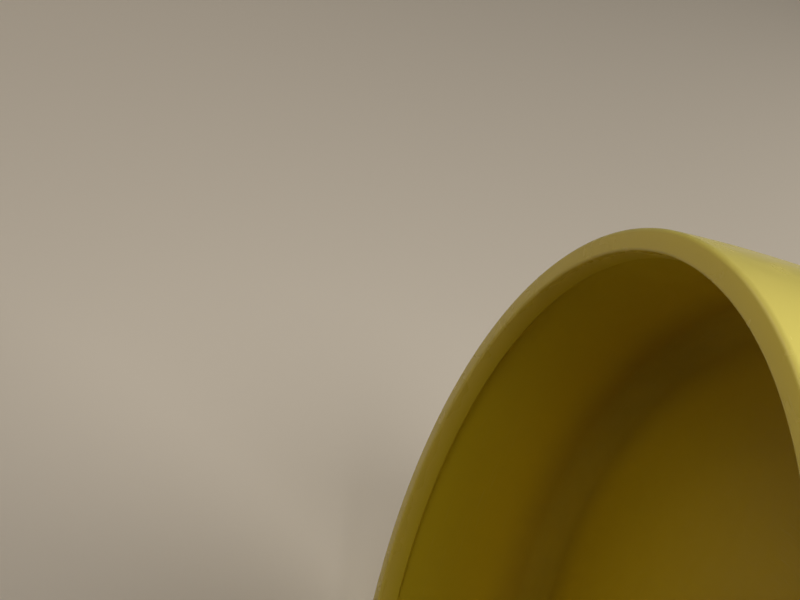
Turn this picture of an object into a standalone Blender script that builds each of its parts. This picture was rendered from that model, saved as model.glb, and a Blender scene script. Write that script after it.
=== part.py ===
# Exercise wheel for a hamster: a closed-backed plastic drum that spins on two ball bearings,
# held by one bolt on an upright that stands on a flat base with four rubber feet.
#
# Metres, +Z up. The axle lies along Y and the drum's open mouth faces -Y.
# The origin is on the floor, under the middle of the whole object.
# A "depth" is a distance behind the plane of the drum's mouth, towards +Y.

import math

import bmesh
import bpy
from mathutils import Matrix, Vector

MM = 0.001
GAP = 0.3 * MM                     # left between two pieces that touch
OVERLAP = 1 * MM                   # how far a joined or cutting shape runs past the face it meets

# Overall
AXLE_HEIGHT = 156 * MM
OVERALL_DEPTH = 132 * MM

# Drum
DRUM_SEGMENTS = 80
LIP_FACE_RADIUS = 135 * MM         # outer edge of the flat face round the mouth
LIP_INNER_RADIUS = 129 * MM
LIP_LENGTH = 8.8 * MM
LIP_OUTER_FILLET = 2 * MM
LIP_INNER_FILLET = 1 * MM
OUTSIDE_FRONT_RADIUS = 136.8 * MM
OUTSIDE_BACK_RADIUS = 140.5 * MM
SWELL_DEPTH = 60 * MM              # where the outside reaches its full radius
SWELL_STEPS = 5
RUN_FRONT_RADIUS = 133.4 * MM      # the surface that the animal runs on
RUN_BACK_RADIUS = 134.8 * MM
RUN_FILLET = 11 * MM               # where the running surface meets the back
DISC_DEPTH = 75 * MM               # inner face of the back
DISC_THICKNESS = 3 * MM
BACK_FILLET = 9 * MM
RIB_COUNT = 8
RIB_OUTER_RADIUS = 121 * MM
RIB_WIDTH = 2.6 * MM
RIB_HEIGHT = 3.8 * MM
RING_RIB_WIDTH = 3 * MM

# Hub, in the middle of the drum's back
HUB_RADIUS = 17 * MM
HUB_FRONT_DEPTH = 66 * MM
HUB_BACK_DEPTH = 94 * MM
HUB_SHOULDER_RADIUS = 8.5 * MM
HUB_FLARE = 5 * MM                 # the cone where the hub grows out of the back
CAP_RADIUS = 26 * MM
CAP_TOP_DEPTH = 56 * MM
CAP_SIDE = 4.5 * MM
CAP_POCKET_RADIUS = 9 * MM
CAP_POCKET_DEPTH = 60.5 * MM
CAP_SEGMENTS = 40
CAP_DOME_STEPS = 8

# Ball bearings, 8 x 22 x 7 mm
BEARING_OUTER_RADIUS = 11 * MM
BEARING_OUTER_WALL = 1.8 * MM
BEARING_INNER_WALL = 1.9 * MM
BEARING_WIDTH = 7 * MM
BEARING_CHAMFER = 0.4 * MM
FRONT_BEARING_DEPTH = 68 * MM
BACK_BEARING_DEPTH = 86 * MM

# Axle bolt and what is on it
AXLE_RADIUS = 4 * MM
AXLE_CLEARANCE = AXLE_RADIUS + GAP
BOLT_HEAD_RADIUS = 6.5 * MM
BOLT_HEAD_LENGTH = 5.4 * MM
BOLT_HEAD_CHAMFER = 0.5 * MM
BOLT_END_CHAMFER = 1 * MM
BOLT_SOCKET_RADIUS = 3.4 * MM
BOLT_SOCKET_LENGTH = 3 * MM
BOLT_END_DEPTH = 123.5 * MM
SPACER_WALL = 1.5 * MM             # between the two inner rings
SLEEVE_RADIUS = 7.5 * MM           # between the back bearing and the upright
WASHER_RADIUS = 8.5 * MM
WASHER_THICKNESS = 1.6 * MM
WASHER_CHAMFER = 0.2 * MM
NUT_ACROSS_FLATS = 13 * MM
NUT_LENGTH = 5 * MM
NUT_COLLAR_RADIUS = 5.6 * MM
NUT_COLLAR_LENGTH = 1.8 * MM
NUT_COLLAR_CHAMFER = 0.6 * MM

# Upright
UPRIGHT_FRONT_DEPTH = 98 * MM
UPRIGHT_THICKNESS = 12 * MM
UPRIGHT_FOOT_HALF_WIDTH = 54 * MM
UPRIGHT_TOP_RADIUS = 25 * MM
UPRIGHT_TOP_STEPS = 14
UPRIGHT_EDGE_ROUND = 1.5 * MM
UPRIGHT_EDGE_STEPS = 2
UPRIGHT_BOSS_RADIUS = 17 * MM
UPRIGHT_BOSS_LENGTH = 2 * MM
UPRIGHT_BOSS_CHAMFER = 1 * MM
UPRIGHT_BOSS_HOLE_STEPS = 20
UPRIGHT_BORDER = 8 * MM            # the raised border round the panel on its back
UPRIGHT_PANEL_DEPTH = 3 * MM
PANEL_RIB_WIDTH = 5.2 * MM
PANEL_RIB_SINK = 0.5 * MM          # the rib in the panel ends this far below the border
FLANGE_HALF_WIDTH = 64 * MM
FLANGE_FRONT_DEPTH = 88 * MM
FLANGE_BACK_DEPTH = 127 * MM
FLANGE_HEIGHT = 8 * MM
FLANGE_CORNER = 9 * MM
GUSSET_X = 36 * MM
GUSSET_THICKNESS = 4 * MM
GUSSET_HEIGHT = 52 * MM
GUSSET_LENGTH = 14 * MM
GUSSET_TOE = 4 * MM                # height of its end on the flange
PLATE_LIFT = 2 * MM                # the plate starts this far up inside the flange

# Base and feet
BASE_HALF_WIDTH = 90 * MM
BASE_FRONT_DEPTH = 4 * MM
BASE_BOTTOM = 3 * MM
BASE_THICKNESS = 7 * MM
BASE_CORNER = 26 * MM
BASE_TOP_ROUND = 3 * MM
BASE_TOP_STEPS = 3
BASE_BOTTOM_ROUND = 1 * MM
BASE_BOTTOM_STEPS = 1
FOOT_RADIUS = 9 * MM
FOOT_HEIGHT = 5 * MM
FOOT_CHAMFER = 1 * MM
FOOT_X = 72 * MM
FOOT_FRONT_DEPTH = 22 * MM
FOOT_BACK_DEPTH = 114 * MM

# Screws that hold the upright to the base, from below
SCREW_X = 50 * MM
SCREW_FRONT_DEPTH = 94 * MM
SCREW_BACK_DEPTH = 120 * MM
SCREW_RADIUS = 1.8 * MM
SCREW_HEAD_RADIUS = 3.8 * MM
SCREW_HEAD_HEIGHT = 2.2 * MM
SCREW_HEAD_CHAMFER = 0.6 * MM
SCREW_TIP_CHAMFER = 1 * MM
SCREW_HEAD_BOTTOM = 3.6 * MM
SCREW_TOP = 16 * MM

ARC_TOLERANCE = 0.12 * MM          # how far a rounded corner's straight steps may cut inside its arc
SHARP_ANGLE = math.radians(30)
SMALL_SEGMENTS = 24
SCREW_SEGMENTS = 16
HEXAGON = 6

BASE_TOP = BASE_BOTTOM + BASE_THICKNESS
UPRIGHT_BOTTOM = BASE_TOP + GAP
UPRIGHT_BACK_DEPTH = UPRIGHT_FRONT_DEPTH + UPRIGHT_THICKNESS
DRUM_BACK_DEPTH = DISC_DEPTH + DISC_THICKNESS
ALONG_X = Vector((1, 0, 0))
ALONG_Y = Vector((0, 1, 0))
ALONG_Z = Vector((0, 0, 1))


# Outlines

def rounded_outline(corners):
    # Each corner is (a, b, radius). A radius above 0 turns that corner into an arc.
    points = []
    for index, (a, b, radius) in enumerate(corners):
        here = Vector((a, b))
        if radius == 0:
            points.append(here)
            continue
        to_before = (Vector(corners[index - 1][:2]) - here).normalized()
        to_after = (Vector(corners[(index + 1) % len(corners)][:2]) - here).normalized()
        half_angle = to_before.angle(to_after) / 2
        centre = here + (to_before + to_after).normalized() * radius / math.sin(half_angle)
        spoke = here + to_before * radius / math.tan(half_angle) - centre
        turn = math.pi - 2 * half_angle
        if to_after.cross(to_before) < 0:
            turn = -turn
        steps = math.ceil(abs(turn) / (2 * math.acos(1 - ARC_TOLERANCE / radius)))
        for step in range(steps + 1):
            points.append(centre + Matrix.Rotation(turn * step / steps, 2) @ spoke)
    return points


def arc(centre, radius, start, end, steps):
    # Points on a circle, from one angle to another.
    angles = [start + (end - start) * step / steps for step in range(steps + 1)]
    return [Vector(centre) + radius * Vector((math.cos(angle), math.sin(angle))) for angle in angles]


def full_circle(centre, radius, sides):
    return arc(centre, radius, 0, 2 * math.pi, sides)[:-1]


def rectangle(low_a, high_a, low_b, high_b, radius=0):
    return rounded_outline([
        (low_a, low_b, radius),
        (high_a, low_b, radius),
        (high_a, high_b, radius),
        (low_a, high_b, radius),
    ])


# Solids

def turned(shape, outline, axis, centre=(0, 0, 0), segments=SMALL_SEGMENTS):
    # Spins an outline of (radius, height) points once round the axis.
    centre = Vector(centre)
    rows = [shape.verts.new(centre + Vector((radius, 0, 0)) + axis * height)
            for radius, height in outline]
    edges = [shape.edges.new(pair) for pair in zip(rows, rows[1:])]
    if outline[0][0] > 0 or outline[-1][0] > 0:
        edges.append(shape.edges.new((rows[-1], rows[0])))
    bmesh.ops.spin(
        shape, geom=rows + edges, cent=centre, axis=axis,
        angle=2 * math.pi, steps=segments, use_merge=True)
    bmesh.ops.remove_doubles(shape, verts=shape.verts, dist=MM / 1000)


def extruded(shape, outline, axis, low, high):
    # Pushes an outline along an axis. Its points are (y, z), (x, z) or (x, y), as the axis leaves them.
    if axis is ALONG_X:
        places = [(low, a, b) for a, b in outline]
    elif axis is ALONG_Y:
        places = [(a, low, b) for a, b in outline]
    else:
        places = [(a, b, low) for a, b in outline]
    bottom = shape.faces.new([shape.verts.new(place) for place in places])
    grown = bmesh.ops.extrude_face_region(shape, geom=[bottom])["geom"]
    top = [item for item in grown if isinstance(item, bmesh.types.BMVert)]
    bmesh.ops.translate(shape, verts=top, vec=axis * (high - low))


def finished_mesh(name, shape):
    shape.normal_update()
    bmesh.ops.recalc_face_normals(shape, faces=shape.faces)
    mesh = bpy.data.meshes.new(name)
    shape.to_mesh(mesh)
    shape.free()
    mesh.shade_smooth()
    mesh.set_sharp_from_angle(angle=SHARP_ANGLE)
    return mesh


def add_piece(name, mesh, material, parent, location=(0, 0, 0)):
    if not mesh.materials:
        mesh.materials.append(material)
    piece = bpy.data.objects.new(name, mesh)
    bpy.context.collection.objects.link(piece)
    piece.parent = parent
    piece.location = location
    return piece


def add_empty(name, location):
    empty = bpy.data.objects.new(name, None)
    bpy.context.collection.objects.link(empty)
    empty.location = location
    return empty


def round_rim(shape, axis, height, width, segments):
    # Rounds the edges that lie in one plane across an axis.
    rim = [edge for edge in shape.edges
           if all(abs(vert.co.dot(axis) - height) < MM / 100 for vert in edge.verts)]
    bmesh.ops.bevel(shape, geom=rim, offset=width, segments=segments, profile=0.5, affect="EDGES")


def add_boolean(piece, operation, name, shape):
    # Joins a second shape to the piece, or cuts it away.
    tool = bpy.data.objects.new(name, finished_mesh(name, shape))
    bpy.context.collection.objects.link(tool)
    tool.parent = piece.parent
    tool.location = piece.location
    tool.hide_render = True
    tool.display_type = "WIRE"
    boolean = piece.modifiers.new(name, "BOOLEAN")
    boolean.operation = operation
    boolean.solver = "EXACT"
    boolean.object = tool


def make_material(name, colour, roughness, metallic=0.0):
    material = bpy.data.materials.new(name)
    material.use_nodes = True
    shader = material.node_tree.nodes["Principled BSDF"]
    shader.inputs["Base Color"].default_value = (*colour, 1)
    shader.inputs["Roughness"].default_value = roughness
    shader.inputs["Metallic"].default_value = metallic
    material.diffuse_color = (*colour, 1)
    return material


# Sub-parts

def outside_radius(share):
    # The outside swells from the mouth to its full radius, fast at first.
    return OUTSIDE_BACK_RADIUS - (OUTSIDE_BACK_RADIUS - OUTSIDE_FRONT_RADIUS) * (1 - share) ** 2


def drum_outline():
    # Round the section once: mouth, outside, back, hub, its bore, back's inner face, running surface.
    swell = [step / SWELL_STEPS for step in range(1, SWELL_STEPS + 1)]
    ring_outer = RIB_OUTER_RADIUS + RING_RIB_WIDTH
    seat_radius = BEARING_OUTER_RADIUS + GAP
    front_seat = FRONT_BEARING_DEPTH + BEARING_WIDTH + GAP
    back_seat = BACK_BEARING_DEPTH - GAP
    corners = [
        (LIP_INNER_RADIUS, 0, LIP_INNER_FILLET),
    ]
    lip_swell = OUTSIDE_FRONT_RADIUS - LIP_FACE_RADIUS
    for angle in (0, math.pi / 4, math.pi / 2):
        corners.append((
            LIP_FACE_RADIUS + lip_swell * math.sin(angle),
            LIP_OUTER_FILLET * (1 - math.cos(angle)), 0))
    corners += [(outside_radius(share), SWELL_DEPTH * share, 0) for share in swell]
    corners += [
        (OUTSIDE_BACK_RADIUS, DRUM_BACK_DEPTH, BACK_FILLET),
        (ring_outer, DRUM_BACK_DEPTH, 0),
        (ring_outer, DRUM_BACK_DEPTH + RIB_HEIGHT, 0),
        (RIB_OUTER_RADIUS, DRUM_BACK_DEPTH + RIB_HEIGHT, 0),
        (RIB_OUTER_RADIUS, DRUM_BACK_DEPTH, 0),
        (HUB_RADIUS + HUB_FLARE, DRUM_BACK_DEPTH, 0),
        (HUB_RADIUS, DRUM_BACK_DEPTH + HUB_FLARE, 0),
        (HUB_RADIUS, HUB_BACK_DEPTH, 0),
        (seat_radius, HUB_BACK_DEPTH, 0),
        (seat_radius, back_seat, 0),
        (HUB_SHOULDER_RADIUS, back_seat, 0),
        (HUB_SHOULDER_RADIUS, front_seat, 0),
        (seat_radius, front_seat, 0),
        (seat_radius, HUB_FRONT_DEPTH, 0),
        (HUB_RADIUS, HUB_FRONT_DEPTH, 0),
        (HUB_RADIUS, DISC_DEPTH, 0),
        (RUN_BACK_RADIUS, DISC_DEPTH, RUN_FILLET),
        (RUN_FRONT_RADIUS, LIP_LENGTH, 0),
        (LIP_INNER_RADIUS, LIP_LENGTH, 0),
    ]
    return rounded_outline(corners)


def make_drum(material, wheel_axis):
    shape = bmesh.new()
    turned(shape, drum_outline(), ALONG_Y, segments=DRUM_SEGMENTS)
    drum = add_piece("drum", finished_mesh("drum", shape), material, wheel_axis)
    ribs = bmesh.new()
    for index in range(RIB_COUNT):
        rib = bmesh.new()
        half_width = RIB_WIDTH / 2
        outline = rectangle(
            HUB_RADIUS - OVERLAP, RIB_OUTER_RADIUS + OVERLAP, -half_width, half_width)
        extruded(rib, outline, ALONG_Y, DRUM_BACK_DEPTH - OVERLAP, DRUM_BACK_DEPTH + RIB_HEIGHT)
        turn = Matrix.Rotation(2 * math.pi * index / RIB_COUNT, 4, "Y")
        bmesh.ops.transform(rib, matrix=turn, verts=rib.verts)
        one_rib = bpy.data.meshes.new("rib")
        rib.to_mesh(one_rib)
        rib.free()
        ribs.from_mesh(one_rib)
    add_boolean(drum, "UNION", "drum_ribs", ribs)
    return drum


def make_hub_cap(material, wheel_axis):
    # A shallow dome that covers the bolt's head and grips the hub.
    side_depth = DISC_DEPTH - GAP - CAP_SIDE
    rise = side_depth - CAP_TOP_DEPTH
    dome = []
    for step in range(CAP_DOME_STEPS + 1):
        angle = math.pi / 2 * step / CAP_DOME_STEPS
        dome.append((CAP_RADIUS * math.sin(angle), side_depth - rise * math.cos(angle)))
    outline = dome + [
        (CAP_RADIUS, DISC_DEPTH - GAP),
        (HUB_RADIUS + GAP, DISC_DEPTH - GAP),
        (HUB_RADIUS + GAP, HUB_FRONT_DEPTH - GAP),
        (CAP_POCKET_RADIUS, HUB_FRONT_DEPTH - GAP),
        (CAP_POCKET_RADIUS, CAP_POCKET_DEPTH),
        (0, CAP_POCKET_DEPTH),
    ]
    shape = bmesh.new()
    turned(shape, outline, ALONG_Y, segments=CAP_SEGMENTS)
    add_piece("hub_cap", finished_mesh("hub_cap", shape), material, wheel_axis)


def ring_mesh(name, inner_radius, outer_radius, length, chamfer):
    outline = rounded_outline([
        (inner_radius, 0, 0),
        (outer_radius - chamfer, 0, 0),
        (outer_radius, chamfer, 0),
        (outer_radius, length - chamfer, 0),
        (outer_radius - chamfer, length, 0),
        (inner_radius, length, 0),
    ])
    shape = bmesh.new()
    turned(shape, outline, ALONG_Y)
    return finished_mesh(name, shape)


def make_bearings(steel, wheel_axis, axle_line):
    # The outer rings turn with the drum, and the inner rings stay on the bolt.
    outer_bore = BEARING_OUTER_RADIUS - BEARING_OUTER_WALL
    inner_outside = AXLE_CLEARANCE + BEARING_INNER_WALL
    outer = ring_mesh(
        "bearing_outer", outer_bore, BEARING_OUTER_RADIUS, BEARING_WIDTH, BEARING_CHAMFER)
    inner = ring_mesh(
        "bearing_inner", AXLE_CLEARANCE, inner_outside, BEARING_WIDTH, BEARING_CHAMFER)
    for place, depth in (("front", FRONT_BEARING_DEPTH), ("back", BACK_BEARING_DEPTH)):
        add_piece("bearing_outer_" + place, outer, steel, wheel_axis, (0, depth, 0))
        add_piece("bearing_inner_" + place, inner, steel, axle_line, (0, depth, 0))


def make_axle(steel, axle_line):
    head_depth = FRONT_BEARING_DEPTH - GAP - BOLT_HEAD_LENGTH
    outline = [
        (0, head_depth),
        (BOLT_HEAD_RADIUS - BOLT_HEAD_CHAMFER, head_depth),
        (BOLT_HEAD_RADIUS, head_depth + BOLT_HEAD_CHAMFER),
        (BOLT_HEAD_RADIUS, head_depth + BOLT_HEAD_LENGTH),
        (AXLE_RADIUS, head_depth + BOLT_HEAD_LENGTH),
        (AXLE_RADIUS, BOLT_END_DEPTH - BOLT_END_CHAMFER),
        (AXLE_RADIUS - BOLT_END_CHAMFER, BOLT_END_DEPTH),
        (0, BOLT_END_DEPTH),
    ]
    shape = bmesh.new()
    turned(shape, outline, ALONG_Y)
    bolt = add_piece("axle_bolt", finished_mesh("axle_bolt", shape), steel, axle_line)
    socket = bmesh.new()
    hexagon = full_circle((0, 0), BOLT_SOCKET_RADIUS, HEXAGON)
    extruded(socket, hexagon, ALONG_Y, head_depth - OVERLAP, head_depth + BOLT_SOCKET_LENGTH)
    add_boolean(bolt, "DIFFERENCE", "bolt_socket", socket)

    # Between the inner rings, then between the back inner ring and the upright.
    between_start = FRONT_BEARING_DEPTH + BEARING_WIDTH + GAP
    between_length = BACK_BEARING_DEPTH - GAP - between_start
    between = ring_mesh(
        "bearing_spacer", AXLE_CLEARANCE, AXLE_CLEARANCE + SPACER_WALL, between_length, 0)
    add_piece("bearing_spacer", between, steel, axle_line, (0, between_start, 0))
    sleeve_start = BACK_BEARING_DEPTH + BEARING_WIDTH + GAP
    boss_front = UPRIGHT_FRONT_DEPTH - UPRIGHT_BOSS_LENGTH
    sleeve_length = boss_front - GAP - sleeve_start
    sleeve = ring_mesh("rear_spacer", AXLE_CLEARANCE, SLEEVE_RADIUS, sleeve_length, 0)
    add_piece("rear_spacer", sleeve, steel, axle_line, (0, sleeve_start, 0))


def make_nut(steel, axle_line):
    washer_start = UPRIGHT_BACK_DEPTH + UPRIGHT_BOSS_LENGTH + GAP
    washer = ring_mesh(
        "axle_washer", AXLE_CLEARANCE, WASHER_RADIUS, WASHER_THICKNESS, WASHER_CHAMFER)
    add_piece("axle_washer", washer, steel, axle_line, (0, washer_start, 0))
    nut_start = washer_start + WASHER_THICKNESS + GAP
    nut_end = nut_start + NUT_LENGTH
    shape = bmesh.new()
    corner_radius = NUT_ACROSS_FLATS / 2 / math.cos(math.pi / 6)
    hexagon = full_circle((0, 0), corner_radius, HEXAGON)
    extruded(shape, hexagon, ALONG_Y, nut_start, nut_end)
    nut = add_piece("axle_nut", finished_mesh("axle_nut", shape), steel, axle_line)
    collar = bmesh.new()
    collar_end = nut_end + NUT_COLLAR_LENGTH
    collar_outline = [
        (0, nut_end - OVERLAP),
        (NUT_COLLAR_RADIUS, nut_end - OVERLAP),
        (NUT_COLLAR_RADIUS, collar_end - NUT_COLLAR_CHAMFER),
        (NUT_COLLAR_RADIUS - NUT_COLLAR_CHAMFER, collar_end),
        (0, collar_end),
    ]
    turned(collar, collar_outline, ALONG_Y)
    add_boolean(nut, "UNION", "nut_collar", collar)
    bore = bmesh.new()
    bore_outline = [
        (0, nut_start - OVERLAP),
        (AXLE_CLEARANCE, nut_start - OVERLAP),
        (AXLE_CLEARANCE, collar_end + OVERLAP),
        (0, collar_end + OVERLAP),
    ]
    turned(bore, bore_outline, ALONG_Y)
    add_boolean(nut, "DIFFERENCE", "nut_bore", bore)


def upright_outline(half_width, bottom, top_radius):
    # Two straight sides that run from the foot onto a round top about the axle.
    centre = Vector((0, AXLE_HEIGHT))
    reach = Vector((half_width, bottom)) - centre
    lean = math.atan2(reach.y, reach.x) + math.acos(top_radius / reach.length)
    top = arc(centre, top_radius, lean, math.pi - lean, UPRIGHT_TOP_STEPS)
    return [Vector((-half_width, bottom)), Vector((half_width, bottom))] + top


def make_upright(material, support):
    shape = bmesh.new()
    outline = upright_outline(
        UPRIGHT_FOOT_HALF_WIDTH, UPRIGHT_BOTTOM + PLATE_LIFT, UPRIGHT_TOP_RADIUS)
    extruded(shape, outline, ALONG_Y, UPRIGHT_FRONT_DEPTH, UPRIGHT_BACK_DEPTH)
    for face_depth in (UPRIGHT_FRONT_DEPTH, UPRIGHT_BACK_DEPTH):
        round_rim(shape, ALONG_Y, face_depth, UPRIGHT_EDGE_ROUND, UPRIGHT_EDGE_STEPS)
    upright = add_piece("upright", finished_mesh("upright", shape), material, support)

    # A shallow panel in its back, inside a raised border.
    panel = bmesh.new()
    panel_outline = upright_outline(
        UPRIGHT_FOOT_HALF_WIDTH - UPRIGHT_BORDER,
        UPRIGHT_BOTTOM + FLANGE_HEIGHT + UPRIGHT_BORDER,
        UPRIGHT_TOP_RADIUS - UPRIGHT_BORDER / 2)
    extruded(panel, panel_outline, ALONG_Y,
             UPRIGHT_BACK_DEPTH - UPRIGHT_PANEL_DEPTH, UPRIGHT_BACK_DEPTH + OVERLAP)
    add_boolean(upright, "DIFFERENCE", "upright_panel", panel)

    # Flange on the base.
    flange = bmesh.new()
    flange_outline = rectangle(
        -FLANGE_HALF_WIDTH, FLANGE_HALF_WIDTH, FLANGE_FRONT_DEPTH, FLANGE_BACK_DEPTH, FLANGE_CORNER)
    extruded(flange, flange_outline, ALONG_Z, UPRIGHT_BOTTOM, UPRIGHT_BOTTOM + FLANGE_HEIGHT)
    add_boolean(upright, "UNION", "upright_flange", flange)

    # Boss for the bolt, proud of both faces. It fills a wider hole through the plate.
    boss_hole = bmesh.new()
    hole_outline = full_circle(
        (0, AXLE_HEIGHT), UPRIGHT_BOSS_RADIUS / 2, UPRIGHT_BOSS_HOLE_STEPS)
    extruded(boss_hole, hole_outline, ALONG_Y,
             UPRIGHT_FRONT_DEPTH - OVERLAP, UPRIGHT_BACK_DEPTH + OVERLAP)
    add_boolean(upright, "DIFFERENCE", "upright_boss_hole", boss_hole)
    boss = bmesh.new()
    boss_front = UPRIGHT_FRONT_DEPTH - UPRIGHT_BOSS_LENGTH
    boss_back = UPRIGHT_BACK_DEPTH + UPRIGHT_BOSS_LENGTH
    boss_outline = [
        (AXLE_CLEARANCE, boss_front),
        (UPRIGHT_BOSS_RADIUS - UPRIGHT_BOSS_CHAMFER, boss_front),
        (UPRIGHT_BOSS_RADIUS, boss_front + UPRIGHT_BOSS_CHAMFER),
        (UPRIGHT_BOSS_RADIUS, boss_back - UPRIGHT_BOSS_CHAMFER),
        (UPRIGHT_BOSS_RADIUS - UPRIGHT_BOSS_CHAMFER, boss_back),
        (AXLE_CLEARANCE, boss_back),
    ]
    turned(boss, boss_outline, ALONG_Y, (0, 0, AXLE_HEIGHT))
    add_boolean(upright, "UNION", "upright_boss", boss)

    # Gussets behind, and a rib up the middle of the panel.
    gusset_low = UPRIGHT_BOTTOM + FLANGE_HEIGHT - OVERLAP
    panel_floor = UPRIGHT_BACK_DEPTH - UPRIGHT_PANEL_DEPTH - OVERLAP
    gussets = bmesh.new()
    for side in (-1, 1):
        inner_x = side * GUSSET_X - GUSSET_THICKNESS / 2
        profile = [
            (panel_floor, gusset_low),
            (UPRIGHT_BACK_DEPTH + GUSSET_LENGTH, gusset_low),
            (UPRIGHT_BACK_DEPTH + GUSSET_LENGTH, gusset_low + GUSSET_TOE),
            (UPRIGHT_BACK_DEPTH + OVERLAP, gusset_low + GUSSET_HEIGHT),
            (panel_floor, gusset_low + GUSSET_HEIGHT),
        ]
        extruded(gussets, profile, ALONG_X, inner_x, inner_x + GUSSET_THICKNESS)
    rib_outline = rectangle(
        -PANEL_RIB_WIDTH / 2, PANEL_RIB_WIDTH / 2, gusset_low,
        AXLE_HEIGHT - UPRIGHT_BOSS_RADIUS + 2 * OVERLAP)
    extruded(gussets, rib_outline, ALONG_Y, panel_floor, UPRIGHT_BACK_DEPTH - PANEL_RIB_SINK)
    add_boolean(upright, "UNION", "upright_gussets", gussets)

    # Blind holes for the screws.
    holes = bmesh.new()
    for place in screw_places():
        hole_outline = full_circle(place, SCREW_RADIUS + GAP, SCREW_SEGMENTS)
        extruded(holes, hole_outline, ALONG_Z, UPRIGHT_BOTTOM - OVERLAP, SCREW_TOP + GAP)
    add_boolean(upright, "DIFFERENCE", "upright_holes", holes)


def foot_places():
    return [(side * FOOT_X, depth) for depth in (FOOT_FRONT_DEPTH, FOOT_BACK_DEPTH) for side in (-1, 1)]


def screw_places():
    return [(side * SCREW_X, depth) for depth in (SCREW_FRONT_DEPTH, SCREW_BACK_DEPTH) for side in (-1, 1)]


def make_base(material, support):
    # The plate's section is straight, with its upper edge rounded more than its lower one.
    shape = bmesh.new()
    outline = rectangle(
        -BASE_HALF_WIDTH, BASE_HALF_WIDTH, BASE_FRONT_DEPTH, OVERALL_DEPTH, BASE_CORNER)
    extruded(shape, outline, ALONG_Z, BASE_BOTTOM, BASE_TOP)
    round_rim(shape, ALONG_Z, BASE_TOP, BASE_TOP_ROUND, BASE_TOP_STEPS)
    round_rim(shape, ALONG_Z, BASE_BOTTOM, BASE_BOTTOM_ROUND, BASE_BOTTOM_STEPS)
    base = add_piece("base_plate", finished_mesh("base_plate", shape), material, support)

    # Seats for the feet, and stepped holes for the screws.
    holes = bmesh.new()
    for place in foot_places():
        seat = full_circle(place, FOOT_RADIUS + GAP, SMALL_SEGMENTS)
        extruded(holes, seat, ALONG_Z, 0, FOOT_HEIGHT + GAP)
    head_top = SCREW_HEAD_BOTTOM + SCREW_HEAD_HEIGHT + GAP
    for x, depth in screw_places():
        stepped = [
            (0, 0),
            (SCREW_HEAD_RADIUS + GAP, 0),
            (SCREW_HEAD_RADIUS + GAP, head_top),
            (SCREW_RADIUS + GAP, head_top),
            (SCREW_RADIUS + GAP, BASE_TOP + OVERLAP),
            (0, BASE_TOP + OVERLAP),
        ]
        turned(holes, stepped, ALONG_Z, (x, depth, 0), SCREW_SEGMENTS)
    add_boolean(base, "DIFFERENCE", "base_holes", holes)


def make_feet(material, support):
    outline = [
        (0, 0),
        (FOOT_RADIUS - FOOT_CHAMFER, 0),
        (FOOT_RADIUS, FOOT_CHAMFER),
        (FOOT_RADIUS, FOOT_HEIGHT),
        (0, FOOT_HEIGHT),
    ]
    shape = bmesh.new()
    turned(shape, outline, ALONG_Z)
    mesh = finished_mesh("foot", shape)
    names = ("foot_front_left", "foot_front_right", "foot_back_left", "foot_back_right")
    for name, (x, depth) in zip(names, foot_places()):
        add_piece(name, mesh, material, support, (x, depth, 0))


def make_screws(material, support):
    outline = [
        (0, SCREW_HEAD_BOTTOM),
        (SCREW_HEAD_RADIUS - SCREW_HEAD_CHAMFER, SCREW_HEAD_BOTTOM),
        (SCREW_HEAD_RADIUS, SCREW_HEAD_BOTTOM + SCREW_HEAD_CHAMFER),
        (SCREW_HEAD_RADIUS, SCREW_HEAD_BOTTOM + SCREW_HEAD_HEIGHT),
        (SCREW_RADIUS, SCREW_HEAD_BOTTOM + SCREW_HEAD_HEIGHT),
        (SCREW_RADIUS, SCREW_TOP - SCREW_TIP_CHAMFER),
        (SCREW_RADIUS - SCREW_TIP_CHAMFER, SCREW_TOP),
        (0, SCREW_TOP),
    ]
    shape = bmesh.new()
    turned(shape, outline, ALONG_Z, segments=SCREW_SEGMENTS)
    mesh = finished_mesh("upright_screw", shape)
    for number, (x, depth) in enumerate(screw_places(), start=1):
        add_piece(f"upright_screw_{number}", mesh, material, support, (x, depth, 0))


def main():
    for item in list(bpy.data.objects):
        bpy.data.objects.remove(item, do_unlink=True)

    yellow_plastic = make_material("yellow_plastic", (0.62, 0.46, 0.035), 0.28)
    cap_plastic = make_material("cap_plastic", (0.62, 0.46, 0.035), 0.3)
    steel = make_material("steel", (0.55, 0.55, 0.55), 0.35, 1.0)
    rubber = make_material("rubber", (0.03, 0.03, 0.032), 0.8)

    mouth_y = -OVERALL_DEPTH / 2
    wheel_axis = add_empty("wheel_axis", (0, mouth_y, AXLE_HEIGHT))
    axle_line = add_empty("axle_line", (0, mouth_y, AXLE_HEIGHT))
    support = add_empty("support", (0, mouth_y, 0))

    make_drum(yellow_plastic, wheel_axis)
    make_hub_cap(cap_plastic, wheel_axis)
    make_bearings(steel, wheel_axis, axle_line)
    make_axle(steel, axle_line)
    make_nut(steel, axle_line)
    make_upright(yellow_plastic, support)
    make_base(yellow_plastic, support)
    make_feet(rubber, support)
    make_screws(steel, support)


main()
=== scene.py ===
# A hamster's exercise wheel: a yellow moulded drum that turns on two ball bearings, on its own stand.
import math

import bmesh
import bpy
from mathutils import Matrix, Vector


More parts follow.
